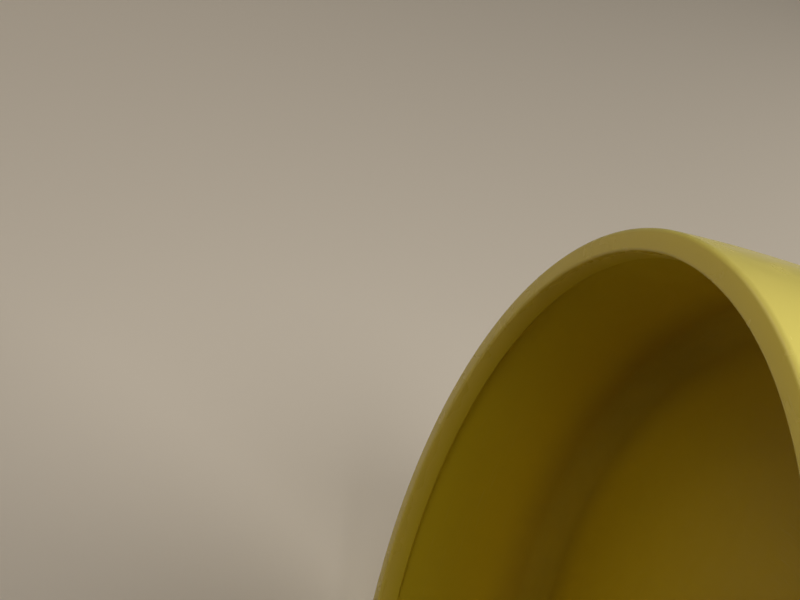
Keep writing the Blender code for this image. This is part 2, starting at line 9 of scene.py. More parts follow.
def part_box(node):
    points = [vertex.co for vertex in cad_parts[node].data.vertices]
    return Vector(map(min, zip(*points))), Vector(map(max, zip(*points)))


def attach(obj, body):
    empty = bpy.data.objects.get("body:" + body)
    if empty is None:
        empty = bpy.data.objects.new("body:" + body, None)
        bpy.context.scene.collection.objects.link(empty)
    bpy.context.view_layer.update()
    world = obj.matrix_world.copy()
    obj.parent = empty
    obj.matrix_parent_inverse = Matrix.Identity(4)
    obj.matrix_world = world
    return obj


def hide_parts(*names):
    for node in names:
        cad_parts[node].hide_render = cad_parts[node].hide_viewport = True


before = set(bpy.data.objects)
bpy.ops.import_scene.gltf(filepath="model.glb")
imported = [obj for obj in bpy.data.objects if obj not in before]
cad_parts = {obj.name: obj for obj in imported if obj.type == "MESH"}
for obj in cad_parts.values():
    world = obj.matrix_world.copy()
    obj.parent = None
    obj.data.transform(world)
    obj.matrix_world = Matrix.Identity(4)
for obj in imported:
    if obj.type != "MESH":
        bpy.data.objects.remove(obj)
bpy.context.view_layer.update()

mm = 0.001
drumLow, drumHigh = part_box("drum")
axleHeight = (drumLow.z + drumHigh.z) / 2
mouthY = drumLow.y                      # a depth is measured from the mouth, towards +Y
axleUp = axleHeight / mm
mouthAt = mouthY / mm
latheCore = 0.01                        # radius of the circle that a turned section is swept along
over = 1                                # mm, how far a tool reaches past the face that it cuts or joins


# Small helpers

def toLinear(hexColour):
    parts = [int(hexColour[i:i + 2], 16) / 255 for i in (1, 3, 5)]
    return (*[c / 12.92 if c <= 0.04045 else ((c + 0.055) / 1.055) ** 2.4 for c in parts], 1.0)


def addNode(tree, kind, inputs=None, **settings):
    # An input takes a value, a hex colour, an output, a node's first output, or a list of these.
    # A Mix node blends the colours 6 and 7 into its output 2.
    node = tree.nodes.new(kind)
    for name, value in settings.items():
        setattr(node, name, value)
    for key, given in (inputs or {}).items():
        for value in given if isinstance(given, list) else [given]:
            if isinstance(value, bpy.types.Node):
                value = value.outputs[0]
            if isinstance(value, bpy.types.NodeSocket):
                tree.links.new(value, node.inputs[key])
            else:
                node.inputs[key].default_value = toLinear(value) if isinstance(value, str) else value
    return node


def roundCorners(corners, closed=True, finest=0.35):
    # Corners are (x, y, rounding) in mm. A rounding makes an arc, in steps of at most the finest length.
    points = []
    for index, (x, y, rounding) in enumerate(corners):
        here = Vector((x, y))
        if rounding == 0 or (not closed and index in (0, len(corners) - 1)):
            points.append(here)
            continue
        before = (Vector(corners[index - 1][:2]) - here).normalized()
        after = (Vector(corners[(index + 1) % len(corners)][:2]) - here).normalized()
        half = before.angle(after) / 2
        centre = here + (before + after).normalized() * rounding / math.sin(half)
        spoke = here + before * rounding / math.tan(half) - centre
        turn = math.pi - 2 * half
        if after.cross(before) < 0:
            turn = -turn
        steps = max(3, math.ceil(abs(turn) * rounding / finest))
        points += [centre + Matrix.Rotation(turn * i / steps, 2) @ spoke for i in range(steps + 1)]
    return points


def boxLine(left, right, low, high, edges, finest):
    # A rectangle with a rounding for each corner, from the low left one round by the right.
    corners = ((left, low), (right, low), (right, high), (left, high))
    return roundCorners([(*corner, edge) for corner, edge in zip(corners, edges)], finest=finest)


def quarterTurn(steps):
    return [math.pi / 2 * i / steps for i in range(steps + 1)]


def circlePoints(x, y, radius, count):
    turns = [2 * math.pi * i / count for i in range(count)]
    return [Vector((x + radius * math.cos(t), y + radius * math.sin(t))) for t in turns]


def linkObject(name, data):
    made = bpy.data.objects.new(name, data)
    bpy.context.scene.collection.objects.link(made)
    return made


def linkMesh(name, points, edges=(), faces=()):
    mesh = bpy.data.meshes.new(name)
    mesh.from_pydata(points, edges, faces)
    return linkObject(name, mesh)


def drawSection(name, loops, closed=True):
    # Lines in the (radius, depth) plane, ready for the lathe.
    places, edges = [], []
    for loop in loops:
        first = len(places)
        places += [(radius * mm - latheCore, depth * mm, 0) for radius, depth in loop]
        edges += [(i, i + 1) for i in range(first, len(places) - 1)]
        if closed:
            edges.append((len(places) - 1, first))
    return linkMesh(name, places, edges)


def onPlane(axis, low, a, b):
    return Vector({"x": (low, a, b), "y": (a, low, b), "z": (a, b, low)}[axis]) * mm


def keepShape(name, shape):
    mesh = bpy.data.meshes.new(name)
    shape.to_mesh(mesh)
    shape.free()
    return linkObject(name, mesh)


def extrudeOutline(name, outline, axis, low, high):
    # Pushes a closed outline in mm along x, y or z. Several outlines make several bodies.
    shape = bmesh.new()
    outlines = outline if isinstance(outline[0], list) else [outline]
    push = Vector([high - low if axis == letter else 0 for letter in "xyz"]) * mm
    for loop in outlines:
        face = shape.faces.new([shape.verts.new(onPlane(axis, low, a, b)) for a, b in loop])
        grown = bmesh.ops.extrude_face_region(shape, geom=[face])["geom"]
        moved = [g for g in grown if isinstance(g, bmesh.types.BMVert)]
        bmesh.ops.translate(shape, verts=moved, vec=push)
    shape.normal_update()
    bmesh.ops.recalc_face_normals(shape, faces=shape.faces)
    return keepShape(name, shape)


def tidyMesh(mesh, sharpAngle):
    # Merges doubles, points the faces outwards and keeps only real edges sharp.
    shape = bmesh.new()
    shape.from_mesh(mesh)
    bmesh.ops.remove_doubles(shape, verts=shape.verts, dist=mm / 500)
    bmesh.ops.dissolve_degenerate(shape, edges=shape.edges, dist=mm / 1000)
    shape.normal_update()
    bmesh.ops.recalc_face_normals(shape, faces=shape.faces)
    if shape.calc_volume(signed=True) < 0:
        bmesh.ops.reverse_faces(shape, faces=shape.faces)
    shape.to_mesh(mesh)
    shape.free()
    mesh.shade_smooth()
    mesh.set_sharp_from_angle(angle=math.radians(sharpAngle))


def bakeModifiers(piece, sharpAngle=32):
    depsgraph = bpy.context.evaluated_depsgraph_get()
    mesh = bpy.data.meshes.new_from_object(piece.evaluated_get(depsgraph), depsgraph=depsgraph)
    piece.modifiers.clear()
    piece.data = mesh
    mesh.name = piece.name
    tidyMesh(mesh, sharpAngle)
    return piece


def startTree(name, sockets):
    tree = bpy.data.node_groups.new(name, "GeometryNodeTree")
    tree.interface.new_socket("Geometry", in_out="INPUT", socket_type="NodeSocketGeometry")
    for label, kind in sockets.items():
        tree.interface.new_socket(label, in_out="INPUT", socket_type="NodeSocket" + kind)
    tree.interface.new_socket("Material", in_out="INPUT", socket_type="NodeSocketMaterial")
    tree.interface.new_socket("Geometry", in_out="OUTPUT", socket_type="NodeSocketGeometry")
    return tree, addNode(tree, "NodeGroupInput").outputs


def endTree(tree, given, geometry):
    real = addNode(tree, "GeometryNodeRealizeInstances", {"Geometry": geometry})
    dressed = addNode(tree, "GeometryNodeSetMaterial", {"Geometry": real, "Material": given["Material"]})
    addNode(tree, "NodeGroupOutput", {"Geometry": dressed})
    return tree


def growPiece(name, source, tree, **values):
    # Runs a Geometry Nodes tree on the source and keeps its result as a plain mesh.
    modifier = source.modifiers.new(tree.name, "NODES")
    modifier.node_group = tree
    for item in tree.interface.items_tree:
        key = item.name.replace(" ", "")
        key = key[0].lower() + key[1:]
        if item.in_out == "INPUT" and key in values:
            modifier[item.identifier] = values[key]
    source.name = name
    return bakeModifiers(source)


def dropObjects(*helpers):
    for helper in helpers:
        bpy.data.objects.remove(helper, do_unlink=True)


def cutOrJoin(piece, tool, operation):
    modifier = piece.modifiers.new(tool.name, "BOOLEAN")
    modifier.operation = operation
    modifier.solver = "EXACT"
    modifier.object = tool


def carvePiece(piece, tool):
    cutOrJoin(piece, tool, "DIFFERENCE")
    bakeModifiers(piece)
    dropObjects(tool)


def paintPiece(piece, material):
    piece.data.materials.clear()
    piece.data.materials.append(material)


print("helpers ready, axle at", round(axleHeight, 4))


# Geometry Nodes trees

def sweepRound(tree, given):
    section = addNode(tree, "GeometryNodeMeshToCurve", {"Mesh": given["Geometry"]})
    ring = addNode(tree, "GeometryNodeCurvePrimitiveCircle", {
        "Resolution": given["Steps"], "Radius": given["Core"]})
    return addNode(tree, "GeometryNodeCurveToMesh", {"Curve": ring, "Profile Curve": section})


def makeLatheTree():
    # Turns a drawn section about the axle.
    tree, given = startTree("latheAboutAxle", {"Steps": "Int", "Core": "Float", "Place": "Vector"})
    swept = sweepRound(tree, given)
    closed = addNode(tree, "GeometryNodeMergeByDistance", {"Geometry": swept, "Distance": mm / 1000})
    stood = addNode(tree, "GeometryNodeTransform", {
        "Geometry": closed, "Translation": given["Place"], "Rotation": (math.pi / 2, 0, 0)})
    return endTree(tree, given, stood)


def copyOnto(tree, points, item, turn):
    one = addNode(tree, "GeometryNodeObjectInfo", {"Object": item}, transform_space="ORIGINAL")
    return addNode(tree, "GeometryNodeInstanceOnPoints", {
        "Points": points, "Instance": one.outputs["Geometry"], "Rotation": turn})


def makeDrumTree():
    # The lathe again, with ribs on the back and the marks of ejector pins cut into it.
    tree, given = startTree("moulded drum", {
        "Steps": "Int", "Core": "Float", "Place": "Vector",
        "Rib": "Object", "Rib Count": "Int", "Pin": "Object", "Pin Count": "Int"})
    stood = addNode(tree, "GeometryNodeTransform", {
        "Geometry": sweepRound(tree, given), "Rotation": (math.pi / 2, 0, 0)})
    around = []
    for item, count, offset in (("Rib", "Rib Count", 0.0), ("Pin", "Pin Count", 0.5)):
        spots = addNode(tree, "GeometryNodeMeshLine", {"Count": given[count], "Offset": (0, 0, 0)})
        index = addNode(tree, "GeometryNodeInputIndex")
        moved = addNode(tree, "ShaderNodeMath", {0: index, 1: offset}, operation="ADD")
        share = addNode(tree, "ShaderNodeMath", {0: moved, 1: given[count]}, operation="DIVIDE")
        angle = addNode(tree, "ShaderNodeMath", {0: share, 1: 2 * math.pi}, operation="MULTIPLY")
        turn = addNode(tree, "ShaderNodeCombineXYZ", {"Y": angle})
        copies = copyOnto(tree, spots, given[item], turn)
        around.append(addNode(tree, "GeometryNodeRealizeInstances", {"Geometry": copies}))
    ribs, pins = around
    joined = addNode(tree, "GeometryNodeMeshBoolean", {
        "Mesh 2": [stood, ribs]}, operation="UNION", solver="MANIFOLD")
    marked = addNode(tree, "GeometryNodeMeshBoolean", {
        "Mesh 1": joined, "Mesh 2": pins}, operation="DIFFERENCE", solver="MANIFOLD")
    placed = addNode(tree, "GeometryNodeTransform", {"Geometry": marked, "Translation": given["Place"]})
    return endTree(tree, given, placed)


def makeScatterTree():
    # Puts a copy of one item on each point of the source.
    tree, given = startTree("item on each point", {"Item": "Object", "Turn": "Vector"})
    return endTree(tree, given, copyOnto(tree, given["Geometry"], given["Item"], given["Turn"]))


def makeThreadTree():
    # A screw thread: a small ridge swept along a helix, joined to the shank that is given.
    tree, given = startTree("thread on a shank", {
        "Turns": "Float", "Steps": "Int", "Root Radius": "Float", "Pitch": "Float",
        "Crest": "Float", "Start": "Vector"})
    height = addNode(tree, "ShaderNodeMath", {0: given["Turns"], 1: given["Pitch"]}, operation="MULTIPLY")
    helix = addNode(tree, "GeometryNodeCurveSpiral", {
        "Resolution": given["Steps"], "Rotations": given["Turns"], "Start Radius": given["Root Radius"],
        "End Radius": given["Root Radius"], "Height": height})
    ridge = addNode(tree, "GeometryNodeCurvePrimitiveCircle", {"Resolution": 6, "Radius": given["Crest"]})
    wound = addNode(tree, "GeometryNodeCurveToMesh", {
        "Curve": helix, "Profile Curve": ridge, "Fill Caps": True})
    put = addNode(tree, "GeometryNodeTransform", {"Geometry": wound, "Translation": given["Start"]})
    both = addNode(tree, "GeometryNodeMeshBoolean", {
        "Mesh 2": [given["Geometry"], put]}, operation="UNION", solver="MANIFOLD")
    return endTree(tree, given, both)


latheTree = makeLatheTree()
drumTree = makeDrumTree()
scatterTree = makeScatterTree()
threadTree = makeThreadTree()
axleFoot = Vector((0, mouthY, axleHeight))     # middle of the mouth, where every turned piece starts
origin = Vector((0, 0, 0))


def turnPiece(name, loops, steps, material, closed=False, place=axleFoot):
    # Open lines start and end on the axle. Closed ones make rings.
    section = drawSection(name + "Section", loops, closed)
    return growPiece(name, section, latheTree, steps=steps, core=latheCore, place=place, material=material)


def scatterPiece(name, item, spots, material, turn=(0, 0, 0)):
    # A copy of the item on each spot, all in one mesh.
    made = growPiece(name, linkMesh(name, spots), scatterTree, item=item, turn=turn, material=material)
    dropObjects(item)
    return made


def threadPiece(name, shank, thread, start, end):
    # The thread tree works along Z, and the ridge stops short of the tip.
    turns = (end - start - thread["threadShort"]) / thread["pitch"]
    return growPiece(
        name, shank, threadTree, turns=turns, steps=thread["threadSteps"],
        rootRadius=thread["root"] * mm, pitch=thread["pitch"] * mm, crest=thread["crest"] * mm,
        start=(0, 0, (start + thread["threadInset"]) * mm), material=zincSteel)


print("node trees ready")


# Materials

noiseLow, noiseHigh = 0.35, 0.65        # most values of a noise lie between these


def startMaterial(name):
    material = bpy.data.materials.new(name)
    material.use_nodes = True
    material.node_tree.nodes.clear()
    return material, material.node_tree


def endMaterial(material, inputs):
    shader = addNode(material.node_tree, "ShaderNodeBsdfPrincipled", inputs)
    addNode(material.node_tree, "ShaderNodeOutputMaterial", {"Surface": shader})
    return material


def centreOnAxle(tree):
    # Places are then measured from the middle of the mouth, with Y as the depth.
    place = addNode(tree, "ShaderNodeTexCoord").outputs["Object"]
    return addNode(tree, "ShaderNodeMapping", {"Vector": place, "Location": -axleFoot})


def unrollHairs(tree, look, flat, radius, depth):
    # Claws leave hairlines that run round the axle, so the pattern is unrolled along it.
    around = addNode(tree, "ShaderNodeVectorMath", {0: flat}, operation="NORMALIZE")
    slow = addNode(tree, "ShaderNodeVectorMath", {0: around, "Scale": look["hairLength"]}, operation="SCALE")
    along = addNode(tree, "ShaderNodeMath", {0: depth, 1: radius}, operation="SUBTRACT")
    fast = addNode(tree, "ShaderNodeMath", {
        0: along, 1: 1 / (look["hairSpacing"] * mm)}, operation="MULTIPLY")
    lift = addNode(tree, "ShaderNodeCombineXYZ", {"Y": fast})
    return addNode(tree, "ShaderNodeVectorMath", {0: slow, 1: lift}, operation="ADD")


def maskInside(tree, look, radius, depth):
    # The outside lies beyond the lip's face, and the back behind the disc. Inside is what is left
    # past the lip, and the reach grows from the mouth to the disc.
    out, behind, deep, reach = [addNode(tree, "ShaderNodeMapRange", {
        "Value": value, "From Min": look[key + "From"] * mm, "From Max": look[key + "To"] * mm})
        for value, key in ((radius, "out"), (depth, "back"), (depth, "in"), (depth, "ramp"))]
    outer = addNode(tree, "ShaderNodeMath", {0: out, 1: behind}, operation="MAXIMUM")
    inside = addNode(tree, "ShaderNodeMath", {0: deep, 1: outer}, operation="SUBTRACT", use_clamp=True)
    return inside, outer, reach


def tintLining(tree, look, radius, depth, reach, worn):
    # Inside, the wall is lemon by the mouth and painted deeper towards the disc as painted shade, and
    # painted shade darkens the corner brown.
    clean = addNode(tree, "ShaderNodeMix", {
        "Factor": reach, 6: look["insideMouth"], 7: look["inside"]}, data_type="RGBA").outputs[2]
    section = addNode(tree, "ShaderNodeCombineXYZ", {"X": radius, "Y": depth})
    toCorner = addNode(tree, "ShaderNodeVectorMath", {
        0: section, 1: Vector(look["grimeRing"]) * mm}, operation="DISTANCE").outputs["Value"]
    nearCorner = addNode(tree, "ShaderNodeMapRange", {
        "Value": toCorner, "From Min": look["grimeReach"] * mm, "From Max": look["grimeNear"] * mm},
        interpolation_type="SMOOTHSTEP")
    patch = addNode(tree, "ShaderNodeMapRange", {
        "Value": worn, "From Min": noiseLow, "From Max": noiseHigh,
        "To Min": look["grimeLeast"] * look["grime"], "To Max": look["grime"]})
    cornerShaded = addNode(tree, "ShaderNodeMath", {0: nearCorner, 1: patch}, operation="MULTIPLY")
    # Painted shade: the corner is mixed towards a dark brown.
    lining = addNode(tree, "ShaderNodeMix", {
        "Factor": cornerShaded, 6: clean, 7: look["grimeColour"]}, data_type="RGBA").outputs[2]
    return lining, nearCorner


def makePlastic(name, look, turned):
    # Glossy injection-moulded ABS: an even, slightly wavy skin that shows soft reflections.
    material, tree = startMaterial(name)
    centred = centreOnAxle(tree)
    if turned:
        flat = addNode(tree, "ShaderNodeVectorMath", {0: centred, 1: (1, 0, 1)}, operation="MULTIPLY")
        radius = addNode(tree, "ShaderNodeVectorMath", {0: flat}, operation="LENGTH").outputs["Value"]
        depth = addNode(tree, "ShaderNodeSeparateXYZ", {0: centred}).outputs["Y"]
        hairPlace = unrollHairs(tree, look, flat, radius, depth)
        hairScale = 1.0
    else:
        # Handling leaves short hairlines in every direction.
        hairPlace = addNode(tree, "ShaderNodeMapping", {
            "Vector": centred, "Rotation": look["hairTurn"], "Scale": (1, 1, look["hairStretch"])})
        hairScale = 1 / (look["hairSpacing"] * mm * look["hairStretch"])
    hairs = addNode(tree, "ShaderNodeTexNoise", {
        "Vector": hairPlace, "Scale": hairScale, "Detail": 3.0, "Roughness": 0.6})
    hairLines = addNode(tree, "ShaderNodeMapRange", {
        "Value": hairs, "From Min": look["hairFrom"], "From Max": look["hairFrom"] + look["hairEdge"]})
    worn, flow, smudge, skin = [addNode(tree, "ShaderNodeTexNoise", {
        "Vector": centred, "Scale": 1 / (look[size] * mm), "Detail": detail, "Roughness": grit,
        "Distortion": swirl}) for size, detail, grit, swirl in (
            ("wearPatch", 4, 0.55, 0), ("flowPatch", 2, 0.5, 0.8), ("smudge", 3, 0.5, 1.2),
            ("skinWave", 1, 0.5, 0))]
    wornPatch = addNode(tree, "ShaderNodeMapRange", {
        "Value": worn, "From Min": look["wearFrom"], "From Max": look["wearTo"]})
    scuffed = addNode(tree, "ShaderNodeMath", {0: hairLines, 1: wornPatch}, operation="MULTIPLY")
    tint = addNode(tree, "ShaderNodeMix", {
        "Factor": flow, 6: look["deep"], 7: look["clear"]}, data_type="RGBA").outputs[2]
    if turned:
        # Painted light: the outside and the back are painted paler, as painted sheen, and the inside a
        # deeper yellow, as painted shade.
        inside, outer, reach = maskInside(tree, look, radius, depth)
        lining, nearCorner = tintLining(tree, look, radius, depth, reach, worn)
        # Painted shade: the inside gets a deeper yellow than the lip.
        tint = addNode(tree, "ShaderNodeMix", {
            "Factor": inside, 6: tint, 7: lining}, data_type="RGBA").outputs[2]
        # Painted sheen: the outside and the back get a paler yellow.
        tint = addNode(tree, "ShaderNodeMix", {
            "Factor": outer, 6: tint, 7: look["paled"]}, data_type="RGBA").outputs[2]
    dusty = addNode(tree, "ShaderNodeMath", {0: scuffed, 1: look["dust"]}, operation="MULTIPLY")
    paint = addNode(tree, "ShaderNodeMix", {
        "Factor": dusty, 6: tint, 7: look["scuff"]}, data_type="RGBA").outputs[2]
    rough = addNode(tree, "ShaderNodeMapRange", {
        "Value": smudge, "From Min": noiseLow, "From Max": noiseHigh,
        "To Min": look["gloss"], "To Max": look["gloss"] + look["glossSpread"]})
    dulled = [(scuffed, look["scuffDull"])]
    if turned:
        dulled = [(inside, look["innerDull"]), (nearCorner, look["grimeDull"])] + dulled
    for mask, dull in dulled:
        rough = addNode(tree, "ShaderNodeMath", {0: mask, 1: dull, 2: rough}, operation="MULTIPLY_ADD")
    skinBump = addNode(tree, "ShaderNodeBump", {
        "Height": skin, "Strength": look["skinBump"], "Distance": look["skinHeight"] * mm})
    hairBump = addNode(tree, "ShaderNodeBump", {
        "Height": scuffed, "Strength": look["hairBump"], "Distance": look["hairDepth"] * mm,
        "Normal": skinBump}, invert=True)
    return endMaterial(material, {
        "Base Color": paint, "Roughness": rough, "Normal": hairBump, "Metallic": 0.0,
        "IOR": look["ior"], "Specular IOR Level": look["shine"]})


drumLook = {                    # lengths in mm
    "ior": 1.53, "shine": 0.36, "gloss": 0.19, "glossSpread": 0.1, "smudge": 17,
    # Lemon yellow as moulded, and deeper where the plastic flowed in thicker.
    "clear": "#d4bf50", "deep": "#cdb747", "flowPatch": 90,
    # The inside by the mouth and by the disc, with the depths between: it is painted deeper towards the
    # disc, as painted shade.
    "insideMouth": "#c5b11c", "inside": "#c9aa0e", "rampFrom": 8, "rampTo": 60,
    # Painted shade darkens a ring in the corner, given by its radius and depth, and the highlights are
    # dulled there.
    "grime": 0.46, "grimeLeast": 0.75, "grimeColour": "#6e5400", "grimeDull": 0.35,
    "grimeRing": (132, 71, 0), "grimeNear": 1, "grimeReach": 25,
    # The outside's painted sheen starts at a radius. The back's painted sheen and the inside's painted shade
    # start at a depth.
    "paled": "#cabf64", "outFrom": 134.8, "outTo": 136.6, "backFrom": 76, "backTo": 77.5,
    "inFrom": 1, "inTo": 10,
    # Claws and bedding have dulled the inside, and rubbed plastic is paler.
    "innerDull": 0.26, "scuff": "#d9cf86", "scuffDull": 0.06, "dust": 0.12,
    "wearPatch": 46, "wearFrom": 0.4, "wearTo": 0.68,
    # A higher length makes the hairlines shorter, a higher start fewer, and a smaller edge crisper.
    "hairLength": 5.0, "hairSpacing": 0.9, "hairFrom": 0.6, "hairEdge": 0.13, "hairBump": 0.15,
    "hairDepth": 0.01,
    # The slow waviness of moulded skin.
    "skinWave": 14, "skinHeight": 0.03, "skinBump": 0.35,
}
standLook = dict(
    drumLook, clear="#cabc5c", deep="#c5b453", hairSpacing=0.8, hairFrom=0.58, wearPatch=38,
    hairStretch=0.06, hairTurn=(0.4, 0.7, 0.9))
drumPlastic = makePlastic("gloss moulded ABS, drum", drumLook, turned=True)
standPlastic = makePlastic("gloss moulded ABS, stand", standLook, turned=False)


def makeMetal(name, look):
    # Plated or ground steel, with turning marks that break the reflections up.
    material, tree = startMaterial(name)
    centred = centreOnAxle(tree)
    mottle = addNode(tree, "ShaderNodeTexNoise", {
        "Vector": centred, "Scale": 1 / (look["spangle"] * mm), "Detail": 3.0})
    tint = addNode(tree, "ShaderNodeMix", {
        "Factor": mottle, 6: look["dark"], 7: look["light"]}, data_type="RGBA")
    across, along = look["markAcross"], look["markAlong"]
    stretched = addNode(tree, "ShaderNodeMapping", {"Vector": centred, "Scale": (along, across, along)})
    marks = addNode(tree, "ShaderNodeTexNoise", {
        "Vector": stretched, "Scale": 1 / (look["markWidth"] * mm * across), "Detail": 2.0})
    rough = addNode(tree, "ShaderNodeMapRange", {
        "Value": marks, "From Min": noiseLow, "From Max": noiseHigh,
        "To Min": look["rough"] - look["smoother"], "To Max": look["rough"] + look["rougher"]})
    bump = addNode(tree, "ShaderNodeBump", {
        "Height": marks, "Strength": look["bump"], "Distance": look["markDepth"] * mm})
    return endMaterial(material, {
        "Base Color": tint.outputs[2], "Roughness": rough, "Normal": bump, "Metallic": 1.0})


steelLook = {                       # the marks are long round the axle and narrow along it
    "markAcross": 8, "markAlong": 0.3, "markDepth": 0.01, "bump": 0.3, "smoother": 0.07, "rougher": 0.09,
}
zincSteel = makeMetal("zinc-plated steel", dict(
    steelLook, dark="#a9adb0", light="#c9cbc6", spangle=3, markWidth=0.3, rough=0.32))
groundSteel = makeMetal("ground bearing steel", dict(
    steelLook, dark="#b4b6b8", light="#cfd0d0", spangle=6, markWidth=0.15, rough=0.17))


def makeRubber(name, look):
    # Moulded rubber or nylon: matt, with a fine grain that scatters the highlights.
    material, tree = startMaterial(name)
    place = addNode(tree, "ShaderNodeTexCoord").outputs["Object"]
    grain = addNode(tree, "ShaderNodeTexNoise", {
        "Vector": place, "Scale": 1 / (look["grain"] * mm), "Detail": 4.0})
    dust = addNode(tree, "ShaderNodeTexNoise", {
        "Vector": place, "Scale": 1 / (look["dustPatch"] * mm), "Detail": 5.0})
    dusty = addNode(tree, "ShaderNodeMapRange", {
        "Value": dust, "From Min": look["dustFrom"], "From Max": look["dustTo"], "To Max": look["dust"]})
    tint = addNode(tree, "ShaderNodeMix", {
        "Factor": dusty, 6: look["colour"], 7: look["dustColour"]}, data_type="RGBA")
    rough = addNode(tree, "ShaderNodeMapRange", {
        "Value": grain, "From Min": look["grainFrom"], "From Max": look["grainTo"],
        "To Min": look["rough"] - look["spread"], "To Max": look["rough"] + look["spread"]})
    bump = addNode(tree, "ShaderNodeBump", {
        "Height": grain, "Strength": look["bump"], "Distance": look["grainHeight"] * mm})
    return endMaterial(material, {
        "Base Color": tint.outputs[2], "Roughness": rough, "Normal": bump, "IOR": look["ior"]})


mattLook = {
    "ior": 1.52, "dustPatch": 9, "dustFrom": 0.45, "dustTo": 0.75, "grain": 0.4, "grainFrom": 0.3,
    "grainTo": 0.7, "grainHeight": 0.05, "bump": 0.5, "spread": 0.08,
}
footRubber = makeRubber("moulded SBR rubber", dict(
    mattLook, colour="#26262a", dustColour="#6d665b", dust=0.5, grain=0.5, rough=0.72))
sealRubber = makeRubber("nitrile rubber seal", dict(
    mattLook, colour="#1a1b1d", dustColour="#4a4640", dust=0.2, rough=0.5))
nylon = makeRubber("nylon insert", dict(
    mattLook, colour="#dfe3e6", dustColour="#bfc0ba", dust=0.4, rough=0.42, ior=1.53))
print("materials ready")


# Drum

drum = {                        # mm, radius and depth
    "steps": 256,
    "lipInner": 129, "lipFace": 135, "lipDepth": 8.8, "lipRound": 1.0, "lipEdge": 0.9, "lipFoot": 0.8,
    "outsideFront": 136.8, "outsideBack": 140.5, "edgeDepth": 2.0, "edgeSteps": 6,
    "swellDepth": 60, "swellSteps": 24,
    "runFront": 133.4, "runBack": 134.8, "runFillet": 11,
    "discFront": 75, "discBack": 78, "backFillet": 9,
    "ringInner": 121, "ringOuter": 124, "ringFoot": 1.2, "ringEdge": 0.7,
    "ribHeight": 3.8, "ribWidth": 2.6, "ribCount": 8, "ribFoot": 1.1, "ribFootSteps": 5,
    "ribDraft": 0.2, "ribTuck": 2,
    "hub": 17, "hubFlare": 5, "hubFillet": 3, "hubFront": 66, "hubBack": 94, "hubEdge": 0.5,
    "hubBackEdge": 0.8, "hubFoot": 1.0, "shoulder": 8.5, "seat": 11.3, "seatEdge": 0.4,
    "seatFrontEnd": 75.3, "seatBackStart": 85.7,
    "pinCount": 8, "pinRing": 72, "pinRadius": 3.2, "pinMark": 0.2, "pinSteps": 32,
}


def drumSection(d):
    front, back, hub, seat = d["discFront"], d["discBack"], d["hub"], d["seat"]
    ringTop = back + d["ribHeight"]
    swell = d["outsideBack"] - d["outsideFront"]
    edge = [(d["lipFace"] + (d["outsideFront"] - d["lipFace"]) * math.sin(turn),
             d["edgeDepth"] * (1 - math.cos(turn)), 0) for turn in quarterTurn(d["edgeSteps"])]
    outside = []
    for i in range(1, d["swellSteps"] + 1):
        share = i / d["swellSteps"]
        depth = d["edgeDepth"] + (d["swellDepth"] - d["edgeDepth"]) * share
        outside.append((d["outsideBack"] - swell * (1 - share) ** 2, depth, 0))
    return roundCorners([
        (d["lipInner"], 0, d["lipRound"]), *edge, *outside, (d["outsideBack"], back, d["backFillet"]),
        (d["ringOuter"], back, d["ringFoot"]), (d["ringOuter"], ringTop, d["ringEdge"]),
        (d["ringInner"], ringTop, d["ringEdge"]), (d["ringInner"], back, d["ringFoot"]),
        (hub + d["hubFlare"], back, d["hubFillet"]), (hub, back + d["hubFlare"], d["hubFillet"]),
        (hub, d["hubBack"], d["hubBackEdge"]), (seat, d["hubBack"], d["seatEdge"]),
        (seat, d["seatBackStart"], 0), (d["shoulder"], d["seatBackStart"], 0),
        (d["shoulder"], d["seatFrontEnd"], 0), (seat, d["seatFrontEnd"], 0), (seat, d["hubFront"], 0),
        (hub, d["hubFront"], d["hubEdge"]), (hub, front, d["hubFoot"]),
        (d["runBack"], front, d["runFillet"]), (d["runFront"], d["lipDepth"], d["lipFoot"]),
        (d["lipInner"], d["lipDepth"], d["lipEdge"]),
    ])


def ribOutline(d):
    # The foot flares out onto the back, and a little draft lets the rib leave its mould.
    half, flare, back = d["ribWidth"] / 2, d["ribFoot"], d["discBack"]
    side = [(half + flare, back - over, 0), (half + flare, back, 0)]
    for turn in quarterTurn(d["ribFootSteps"])[1:]:
        side.append((half + flare * (1 - math.sin(turn)), back + flare * (1 - math.cos(turn)), 0))
    side.append((half - d["ribDraft"], back + d["ribHeight"], d["ringEdge"]))
    across = side + [(-x, y, r) for x, y, r in reversed(side)]
    return [Vector((y, x)) for x, y in roundCorners(across)]


def makeDrum(d):
    rib = extrudeOutline("ribTool", ribOutline(d), "x", d["hub"] - d["ribTuck"], d["ringInner"] + over)
    pinMarks = circlePoints(d["pinRing"], 0, d["pinRadius"], d["pinSteps"])
    pin = extrudeOutline("pinTool", pinMarks, "y", d["discBack"] - d["pinMark"], d["discBack"] + 2 * over)
    section = drawSection("drumSection", [drumSection(d)])
    made = growPiece(
        "drum_shell", section, drumTree, steps=d["steps"], core=latheCore, place=axleFoot,
        rib=rib, ribCount=d["ribCount"], pin=pin, pinCount=d["pinCount"], material=drumPlastic)
    dropObjects(rib, pin)
    return made


drumShell = makeDrum(drum)
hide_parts("drum")
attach(drumShell, "wheel")
print("drum", len(drumShell.data.polygons), "faces")


# Hub cap

hubCap = {                      # mm
    "steps": 160, "top": 56, "sideStart": 70.2, "radius": 26, "foot": 74.7, "footEdge": 0.5,
    "grip": 17.3, "gripEdge": 0.4, "gripDepth": 65.7, "pocket": 9, "pocketDepth": 60.5,
    "grooveRadius": 17.5, "grooveWidth": 1.2, "grooveDepth": 0.45, "domeSteps": 40,
}


